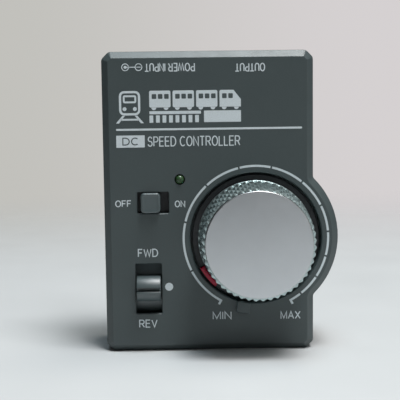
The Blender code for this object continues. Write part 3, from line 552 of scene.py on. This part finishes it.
def scale_ring(ink):
    """The arc round the knob, its steps mostly shorter towards the maximum, a tick at each end."""
    mesh = bmesh.new()
    inner, outer = SCALE_RADIUS - SCALE_LINE / 2, SCALE_RADIUS + SCALE_LINE / 2
    half_gap = math.degrees(SCALE_GAP / 2 / SCALE_RADIUS)
    centre = (KNOB.x, KNOB.z)
    angle = SCALE_START
    last_step = len(SCALE_STEPS) - 1
    for step, size in enumerate(SCALE_STEPS):
        end = angle - size
        start_gap = half_gap if step > 0 else 0
        end_gap = half_gap if step < last_step else 0
        first, last = angle - start_gap, end + end_gap
        outline = arc(centre, outer, first, last, 16) + arc(centre, inner, last, first, 16)
        ink_plate(mesh, outline)
        angle = end
    for tick_angle, side in ((SCALE_START, -1), (angle, 1)):
        wide = math.degrees(SCALE_LINE / SCALE_RADIUS) * side
        outline = arc(centre, outer - 0.05 * MM, tick_angle, tick_angle + wide, 2)
        outline += arc(centre, outer + TICK, tick_angle + wide, tick_angle, 2)
        ink_plate(mesh, outline, INK_FRONT - 0.005 * MM)
    new_object("print_scale", mesh, ink, "case")


DOT_PLACE = (-13.7, 22.1)  # millimetres
DOT_RADIUS = 1.35 * MM


def neutral_dot(ink):
    mesh = bmesh.new()
    ink_plate(mesh, arc(millimetres(*DOT_PLACE), DOT_RADIUS, 0, 360, 40)[:-1])
    new_object("print_neutral_dot", mesh, ink, "case")


def rule_line(ink):
    mesh = bmesh.new()
    ink_plate(mesh, rounded(millimetres(-30.4, 74.57), millimetres(31.1, 75.23), 0.3 * MM))
    new_object("print_rule", mesh, ink, "case")


def polarity_symbol(ink):
    """The usual sign for a plug with a positive or negative centre, drawn upside down."""
    mesh = bmesh.new()
    line = 0.28 * MM
    z = 95.35 * MM
    left, middle, right = -27.0 * MM, -25.1 * MM, -22.6 * MM

    def ring(x, radius):
        outer = arc((x, z), radius, 0, 360, 28)[:-1]
        inner = arc((x, z), radius - line, 0, 360, 28)[:-1]
        loft(mesh, [(outer, INK_FRONT), (outer, INK_BACK), (inner, INK_BACK), (inner, INK_FRONT)], True)

    def stroke(low, high):
        ink_plate(mesh, [high, (low[0], high[1]), low, (high[0], low[1])])

    ring(left, 1.25 * MM)
    ink_plate(mesh, arc((left, z), 0.5 * MM, 0, 360, 16)[:-1])
    ring(right, 1.25 * MM)
    half = line / 2
    stroke((left + 0.5 * MM, z - half), (middle + 0.9 * MM, z + half))
    stroke((middle + 0.9 * MM, z - half), (right - 1.22 * MM, z + half))
    stroke((right - 0.7 * MM, z - half), (right + 0.7 * MM, z + half))
    new_object("print_polarity", mesh, ink, "case")


def emblem(ink):
    """A plain pictogram of a train's front over its track."""
    mesh = bmesh.new()
    line = 0.75 * MM
    x, low, high = -25.75 * MM, 79.6 * MM, 87.6 * MM
    half = 3.5 * MM

    def frame_of(left_low, right_high, corner, thick):
        outer = rounded(left_low, right_high, corner)
        inner = rounded(
            (left_low[0] + thick, left_low[1] + thick),
            (right_high[0] - thick, right_high[1] - thick),
            max(corner - thick, 0.1 * MM),
        )
        loft(mesh, [(outer, INK_FRONT), (outer, INK_BACK), (inner, INK_BACK), (inner, INK_FRONT)], True)

    frame_of((x - half, low), (x + half, high), 1.7 * MM, line)
    frame_of((x - 2.2 * MM, 83.6 * MM), (x + 2.2 * MM, 86.2 * MM), 0.6 * MM, 0.6 * MM)
    for side in (-1, 1):
        ink_plate(mesh, arc((x + side * 1.7 * MM, 81.7 * MM), 0.65 * MM, 0, 360, 20)[:-1])
        foot = [(1.6, 79.5), (2.5, 79.5), (4.6, 77.0), (3.6, 77.0)]
        points = [(x + side * a * MM, b * MM) for a, b in foot]
        ink_plate(mesh, points[::side])
    ink_plate(mesh, rounded((x - 2.9 * MM, 77.9 * MM), (x + 2.9 * MM, 78.5 * MM), 0.2 * MM))
    new_object("print_emblem", mesh, ink, "case")


def train_band(ink, grey):
    """A row of plain carriages behind a locomotive, above a track with sleepers."""
    mesh = bmesh.new()
    windows = bmesh.new()
    low, high = 82.1 * MM, 87.6 * MM
    left, right = -19.3 * MM, 10.9 * MM
    count = 4
    gap = 0.7 * MM
    length = (right - left - gap * (count - 1)) / count
    proud = INK_FRONT - 0.012 * MM
    for car in range(count):
        start = left + car * (length + gap)
        end = start + length
        if car == count - 1:
            nose = [(end, low), (end, low + 2.4 * MM), (end - 2.4 * MM, high)]
            outline = nose + arc((start + 0.5 * MM, high - 0.5 * MM), 0.5 * MM, 90, 180, 3) + [(start, low)]
        else:
            outline = rounded((start, low), (end, high), 0.5 * MM)
        ink_plate(mesh, outline)
        for index in range(3):
            if car == count - 1 and index == 2:
                continue
            pane = start + 0.85 * MM + index * 2.05 * MM
            box = rounded((pane, high - 2.7 * MM), (pane + 1.5 * MM, high - 1.1 * MM), 0.25 * MM)
            ink_plate(windows, box, proud)
        for wheel in (start + 1.5 * MM, end - 1.5 * MM):
            ink_plate(mesh, arc((wheel, low - 0.05 * MM), 0.8 * MM, 180, 360, 10))
    platform = rounded((-1.3 * MM, 77.1 * MM), (right, 80.9 * MM), 0.15 * MM)
    ink_plate(mesh, platform)
    ink_plate(mesh, rounded((left, 79.9 * MM), (-2.3 * MM, 80.9 * MM), 0.15 * MM))
    sleepers = 8
    for index in range(sleepers):
        start = left + index * 2.15 * MM
        ink_plate(mesh, rounded((start, 77.1 * MM), (start + 1.25 * MM, 79.5 * MM), 0.15 * MM))
    new_object("print_train_windows", windows, grey, "case")
    new_object("print_train", mesh, ink, "case")


def marking_box(ink, grey):
    mesh = bmesh.new()
    ink_plate(mesh, rounded(millimetres(-30.4, 69.0), millimetres(-21.0, 73.0), 0.15 * MM))
    new_object("print_box", mesh, ink, "case")
    text_print("print_box_text", "DC", (-28.4, 69.7, -23.0, 72.3), grey, front=INK_FRONT - 0.012 * MM)


# Detailed pieces ------------------------------------------------------------------


def knurl(chrome):
    """The knob's tapered sleeve: long raised diamonds in front of a plain rim."""
    low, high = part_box("knob_sleeve")
    front_y, back_y = low.y, high.y
    rear_radius = (high.x - low.x) / 2
    taper = 1.0 * MM / (back_y - front_y)
    first_y = back_y - 1.2 * MM
    chamfer = 0.28 * MM
    diamonds, diamond_length = 48, 7.4 * MM
    depth, steepness = 0.62 * MM, 1.3
    columns, rows = 12 * diamonds, 52
    inner = 17 * MM
    disc_low, disc_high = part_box("knob_disc")
    seat = (disc_high.x - disc_low.x) / 2 + 0.12 * MM

    def cone(y):
        return rear_radius - taper * (back_y - y)

    def hollow(turn, along):
        """How deep the knurl is cut at a place, from 0 on a diamond's flat top to 1."""
        offset = along / diamond_length
        ridges = [abs(2 * ((turn * diamonds + slope * offset) % 1.0) - 1) for slope in (-1, 1)]
        return 1 - min(1.0, steepness * (1 - max(ridges)))

    def ring(radius, y, cut=0.0):
        points = []
        for column in range(columns):
            turn = column / columns
            angle = 2 * math.pi * turn
            size = max(seat, radius - cut * hollow(turn, first_y - y))
            x = KNOB.x + size * math.cos(angle)
            points.append(mesh.verts.new((x, y, KNOB.z + size * math.sin(angle))))
        return points

    mesh = bmesh.new()
    edge = 0.2 * MM
    last_y = front_y + chamfer
    rings = [
        ring(inner, front_y),
        ring(inner, back_y),
        ring(rear_radius - edge, back_y),
        ring(rear_radius - 0.06 * MM, back_y - 0.06 * MM),
        ring(rear_radius, back_y - edge),
        ring(cone(first_y + 0.25 * MM), first_y + 0.25 * MM),
        ring(cone(first_y + 0.12 * MM) - 0.1 * MM, first_y + 0.12 * MM),
        ring(cone(first_y) - 0.1 * MM, first_y, 0.6 * depth),
    ]
    for row in range(1, rows + 1):
        y = first_y + (last_y - first_y) * row / rows
        rings.append(ring(cone(y), y, depth))
    for step in range(1, 6):
        part = step / 6
        rings.append(ring(cone(last_y) + (seat - cone(last_y)) * part, last_y - chamfer * part, depth))
    rings.append(ring(seat, front_y))
    for near, far in zip(rings, rings[1:] + rings[:1]):
        for column in range(columns):
            after = (column + 1) % columns
            mesh.faces.new((near[column], near[after], far[after], far[column]))
    bmesh.ops.recalc_face_normals(mesh, faces=mesh.faces)
    made = new_object("knob_knurl", mesh, chrome, "speed_knob", 14)
    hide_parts("knob_sleeve")


def disc(face, edge):
    """The knob's face with its narrow turned edge."""
    low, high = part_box("knob_disc")
    radius = (high.x - low.x) / 2
    count = 160
    mesh = bmesh.new()
    bevel = 0.3 * MM
    inner_edge = radius - bevel

    def outline(size):
        return arc((KNOB.x, KNOB.z), size, 0, 360, count)[:-1]

    sections = [(outline(radius - 0.15 * MM), high.y), (outline(radius), high.y - 0.15 * MM)]
    for step in range(5):
        angle = math.radians(90 * step / 4)
        size = inner_edge + bevel * math.cos(angle)
        sections.append((outline(size), low.y + bevel * (1 - math.sin(angle))))
    loft(mesh, sections, finish=1)
    mesh.faces.ensure_lookup_table()
    front = min(mesh.faces, key=lambda one: one.calc_center_median().y - one.calc_area())
    front.material_index = 0
    made = new_object("knob_face", mesh, [face, edge], "speed_knob")
    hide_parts("knob_disc")


POINTER_MIDDLE = 218.9
POINTER_HALF_ANGLE = 11
POINTER_INNER, POINTER_OUTER = 19.7 * MM, 21.3 * MM


def pointer(material):
    """The red pointer: a short domed arc lying on the skirt."""
    low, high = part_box("knob_pointer")
    inner, outer = POINTER_INNER, POINTER_OUTER
    crown = 0.62 * MM
    middle_radius = (inner + outer) / 2

    def band(inset):
        trim = math.degrees(inset / middle_radius)
        start = POINTER_MIDDLE - POINTER_HALF_ANGLE + trim
        end = POINTER_MIDDLE + POINTER_HALF_ANGLE - trim
        centre = (KNOB.x, KNOB.z)
        return arc(centre, outer - inset, start, end, 24) + arc(centre, inner + inset, end, start, 24)

    sections = [(band(0), high.y), (band(0), low.y + crown)]
    for step in range(1, 7):
        angle = math.radians(15 * step)
        sections.append((band(crown * (1 - math.cos(angle))), low.y + crown * (1 - math.sin(angle))))
    mesh = bmesh.new()
    loft(mesh, sections)
    made = new_object("knob_pointer_dome", mesh, material, "speed_knob", 50)
    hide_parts("knob_pointer")


INDEX_ANGLE = 259.3
INDEX_INNER, INDEX_OUTER = 21.7 * MM, 25.6 * MM
INDEX_HALF_WIDTH = 2.2 * MM


def index_block(material):
    """The moulded index block on the well's rim, with its edges rounded over."""
    grow = 0.14 * MM
    edge = 0.45 * MM
    front = PANEL_Y - INDEX_BLOCK_RISE - 0.05 * MM
    near, far = INDEX_INNER, INDEX_OUTER + grow
    half = INDEX_HALF_WIDTH + grow
    turned = math.radians(INDEX_ANGLE)
    outward = Vector((math.cos(turned), math.sin(turned)))
    across = Vector((-outward.y, outward.x))
    middle = Vector((KNOB.x, KNOB.z))

    def outline(inset):
        corner = max(0.6 * MM - inset, 0.1 * MM)
        local = rounded((near + inset, inset - half), (far - inset, half - inset), corner)
        return [tuple(middle + outward * along + across * aside) for along, aside in local]

    sections = [(outline(0), PANEL_Y + 0.1 * MM), (outline(0), front + edge)]
    for step in range(1, 7):
        angle = math.radians(15 * step)
        sections.append((outline(edge * (1 - math.cos(angle))), front + edge * (1 - math.sin(angle))))
    mesh = bmesh.new()
    loft(mesh, sections)
    new_object("index_block", mesh, material, "case", 50)


CAP_PLATE_Y = PANEL_Y + 2.5 * MM  # the caps' plates slide behind the panel's face


def power_cap(material, dark):
    """The on-off switch's cap: a rounded rim round a shallow dish, on its sliding plate, which takes the
    near-black finish as painted shade in the slot.
    """
    low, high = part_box("power_switch_cap")
    front = low.y
    x, z = (low.x + high.x) / 2, (low.z + high.z) / 2
    cap_half = (3.25 * MM, 3.35 * MM)
    rim = 0.6 * MM
    corner = 1.25 * MM

    def outline(inset, half=cap_half, round_corner=corner):
        reach = max(round_corner - inset, 0.2 * MM)
        return rounded(
            (x - half[0] + inset, z - half[1] + inset),
            (x + half[0] - inset, z + half[1] - inset),
            reach,
            8,
        )

    plate_half = ((high.x - low.x) / 2, (high.z - low.z) / 2)
    plate_front = CAP_PLATE_Y
    sections = [
        (outline(0, plate_half, 1 * MM), plate_front + 0.8 * MM),
        (outline(0, plate_half, 1 * MM), plate_front),
        (outline(0), plate_front),
        (outline(0), front + rim),
    ]
    for step in range(1, 9):
        angle = math.radians(15 * step)
        sections.append((outline(rim * (1 - math.cos(angle))), front + rim * (1 - math.sin(angle))))
    sections.append((outline(2.2 * rim), front + 0.13 * MM))
    sections.append((outline(3 * rim), front + 0.15 * MM))
    mesh = bmesh.new()
    loft(mesh, sections)
    # The plate behind the cap gets the near-black finish: painted shade for the slot round the cap, not the
    # plate's own colour.
    for face in mesh.faces:
        if face.calc_center_median().y > plate_front - 0.01 * MM:
            face.material_index = 1
    made = new_object("power_cap", mesh, [material, dark], "power_switch", 50)
    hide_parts("power_switch_cap")


# The groove's corners, from its upper to its lower lip, as reach and height in mm
GROOVE = ((4.08, 0.82), (2.10, 0.80), (2.10, -0.48), (3.88, -0.50), (4.12, -0.82))


def direction_cap(material):
    """The direction switch's half-round cap with a groove across, on its curved plate."""
    low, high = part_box("direction_switch_cap")
    x, z = (low.x + high.x) / 2, (low.z + high.z) / 2
    radius = 4.25 * MM
    centre_y = PANEL_Y + 1 * MM
    half = 4 * MM
    groove = 11.5  # degrees from the middle to each lip
    mesh = bmesh.new()

    def profile(inset):
        """The cap seen from the side, as (y, z) points."""
        size = radius - inset
        lip = math.degrees(0.12 * MM / radius)
        upper = bow((centre_y, z), size, size, 90, 180 - groove - lip, 24)
        lower = bow((centre_y, z), size, size, 180 + groove + lip, 270, 24)
        cut = [(centre_y - (reach * MM - inset), z + up * MM) for reach, up in GROOVE]
        root = PANEL_Y + 3 * MM
        return [(root, z + size)] + upper + cut + lower + [(root, z - size)]

    def along(sections):
        rings = [[mesh.verts.new((place, y, up)) for y, up in outline] for place, outline in sections]
        for near, far in zip(rings, rings[1:]):
            for index in range(len(near)):
                after = (index + 1) % len(near)
                mesh.faces.new((near[index], near[after], far[after], far[index]))
        mesh.faces.new(rings[0])
        mesh.faces.new(rings[-1])

    edge = 0.22 * MM
    along([
        (x - half, profile(edge)),
        (x - half + 0.3 * edge, profile(0.3 * edge)),
        (x - half + edge, profile(0)),
        (x + half - edge, profile(0)),
        (x + half - 0.3 * edge, profile(0.3 * edge)),
        (x + half, profile(edge)),
    ])
    bend = 26 * MM
    plate_front = CAP_PLATE_Y
    spread = math.degrees(math.asin((high.z - low.z) / 2 / bend))
    outer = bow((plate_front + bend, z), bend, bend, 180 - spread, 180 + spread, 32)
    inner = bow((plate_front + bend, z), bend - 0.9 * MM, bend - 0.9 * MM, 180 + spread, 180 - spread, 32)
    along([(low.x, outer + inner), (high.x, outer + inner)])
    bmesh.ops.recalc_face_normals(mesh, faces=mesh.faces)
    made = new_object("direction_cap", mesh, material, "direction_switch", 32)
    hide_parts("direction_switch_cap")


def cad_finishes(finishes):
    """Give every CAD node its finish by the record's material slot."""
    for part in frame["record"]["subparts"]:
        node = frame["nodes"][part["node"]]
        data = node.data
        data.materials.clear()
        data.materials.append(finishes[part["material_slot"]])


# Stage, camera and light ------------------------------------------------------------


FLOOR_RINGS = (0.08, 0.2, 0.4, 0.7, 1.0, 1.4)


def pale_floor(material):
    """A wide round floor, which fades into the pale surroundings a long way out."""
    mesh = bmesh.new()
    rings = []
    count = 96
    for radius in FLOOR_RINGS:
        ring = []
        for index in range(count):
            angle = 2 * math.pi * index / count
            ring.append(mesh.verts.new((radius * math.cos(angle), radius * math.sin(angle), 0)))
        rings.append(ring)
    mesh.faces.new(rings[0])
    for near, far in zip(rings, rings[1:]):
        for index in range(count):
            after = (index + 1) % count
            mesh.faces.new((near[index], far[index], far[after], near[after]))
    data = bpy.data.meshes.new("floor")
    mesh.to_mesh(data)
    mesh.free()
    data.materials.append(material)
    made = bpy.data.objects.new("floor", data)
    bpy.context.scene.collection.objects.link(made)
    made.location.z = -0.02 * MM


def look_along(made, forward, roll=0.0):
    """Turn a camera or light so that it looks along forward, rolled about it."""
    right = forward.cross(Vector((0, 0, 1))).normalized()
    up = right.cross(forward)
    cosine, sine = math.cos(roll), math.sin(roll)
    across = right * cosine + up * sine
    upward = up * cosine - right * sine
    turn = Matrix((across, upward, -forward)).transposed()
    made.rotation_euler = turn.to_euler()


CAMERA_PLACE = (-8.1, -344, 86.7)  # millimetres
CAMERA_YAW, CAMERA_PITCH, CAMERA_ROLL = 0.89, 6.13, -0.72  # degrees
CAMERA_LENS = 89.73
CAMERA_SENSOR = 36


def camera():
    data = bpy.data.cameras.new("camera")
    data.sensor_width = CAMERA_SENSOR
    data.lens = CAMERA_LENS
    data.clip_start = 0.01
    data.clip_end = 20
    made = bpy.data.objects.new("camera", data)
    bpy.context.scene.collection.objects.link(made)
    made.location = millimetres(*CAMERA_PLACE)
    yaw, pitch = math.radians(CAMERA_YAW), math.radians(CAMERA_PITCH)
    forward = Vector((math.sin(yaw) * math.cos(pitch), math.cos(yaw) * math.cos(pitch), -math.sin(pitch)))
    look_along(made, forward, math.radians(CAMERA_ROLL))
    bpy.context.scene.camera = made


LIGHT_TARGET = (0, 0, 0.04)
LIGHTS = (  # name, place, side of the square lamp, watts, colour
    ("key", (0.283, -0.283, 1.394), 0.45, 20.0, (1, 1, 1)),
    ("top", (0, -0.05, 1.45), 0.5, 6.0, (0.8, 1.0, 1.1)),
    ("front", (0.384, -0.665, 1.23), 0.4, 3.0, (1, 1, 1)),
    ("rear", (0.283, 0.283, 1.394), 0.4, 4.0, (1.0, 0.9, 0.8)),
    ("side", (1.18, -0.681, 0.496), 0.4, 2.7, (1, 1, 1)),
)


def soft_light(name, place, size, power, colour):
    data = bpy.data.lights.new(name, "AREA")
    data.shape = "RECTANGLE"
    data.size, data.size_y = size, size
    data.energy = power
    data.color = colour
    made = bpy.data.objects.new(name, data)
    bpy.context.scene.collection.objects.link(made)
    made.location = place
    look_along(made, (Vector(LIGHT_TARGET) - Vector(place)).normalized())


def surroundings():
    """A pale backdrop, painted darker and warmer towards the left as shade. It lights the object from behind,
    and the room in front is dark.
    """
    world = bpy.data.worlds.new("studio")
    bpy.context.scene.world = world
    world.use_nodes = True
    tree = world.node_tree

    def node(kind, **settings):
        made = tree.nodes.new(kind)
        for name, value in settings.items():
            setattr(made, name, value)
        return made

    def ramp(value, low, high, at_low, at_high):
        made = node("ShaderNodeMapRange", interpolation_type="SMOOTHSTEP")
        for name, number in (
            ("From Min", low), ("From Max", high), ("To Min", at_low), ("To Max", at_high),
        ):
            made.inputs[name].default_value = number
        tree.links.new(value, made.inputs["Value"])
        return made.outputs["Result"]

    direction = node("ShaderNodeSeparateXYZ")
    tree.links.new(node("ShaderNodeTexCoord").outputs["Generated"], direction.inputs[0])
    # Painted shade: the backdrop the camera sees is darker and warmer on the left and lighter on the right.
    sideways = ramp(direction.outputs["X"], -0.2, 0.2, 0, 1)
    seen = tree.nodes["Background"]
    tint = node("ShaderNodeMix", data_type="RGBA")
    tint.inputs[6].default_value = (0.535, 0.530, 0.500, 1)
    tint.inputs[7].default_value = (0.665, 0.635, 0.640, 1)
    tree.links.new(sideways, tint.inputs[0])
    tree.links.new(tint.outputs[2], seen.inputs["Color"])
    light = node("ShaderNodeBackground")
    light.inputs["Color"].default_value = (0.94, 0.98, 1.0, 1)
    behind = ramp(direction.outputs["Y"], -0.1, 0.5, 0.015, 0.08)
    tree.links.new(behind, light.inputs["Strength"])
    mix = node("ShaderNodeMixShader")
    tree.links.new(node("ShaderNodeLightPath").outputs["Is Camera Ray"], mix.inputs[0])
    tree.links.new(light.outputs[0], mix.inputs[1])
    tree.links.new(seen.outputs[0], mix.inputs[2])
    tree.links.new(mix.outputs[0], tree.nodes["World Output"].inputs["Surface"])


def studio():
    bpy.context.scene.view_settings.view_transform = "Standard"
    surroundings()
    for light in LIGHTS:
        soft_light(*light)


def main():
    ink, grey = print_ink(), reverse_ink()
    dark = dark_plastic()
    steel = plated_steel()
    finishes = {
        "case": case_plastic(),
        "cap": cap_plastic(),
        "black_plastic": dark,
        "knob_chrome": knurl_chrome(),
        "knob_disc": satin_face(),
        "pointer": pointer_red(),
        "lamp": lamp_lens(),
        "steel": steel,
        "brass": contact_brass(),
        "rubber": foot_rubber(),
        "label": label_film(),
        "board": board_laminate(),
        "aluminium": ribbed_aluminium(),
        "capacitor": capacitor_sleeve(),
        "fuse": fuse_resin(),
    }
    cad_finishes(finishes)
    legends(ink)
    scale_ring(ink)
    neutral_dot(ink)
    rule_line(ink)
    polarity_symbol(ink)
    emblem(ink)
    train_band(ink, grey)
    marking_box(ink, grey)
    knurl(finishes["knob_chrome"])
    disc(finishes["knob_disc"], polished_edge())
    pointer(finishes["pointer"])
    index_block(finishes["case"])
    power_cap(finishes["cap"], dark)
    direction_cap(finishes["cap"])
    pale_floor(floor_paper())
    camera()
    studio()


main()
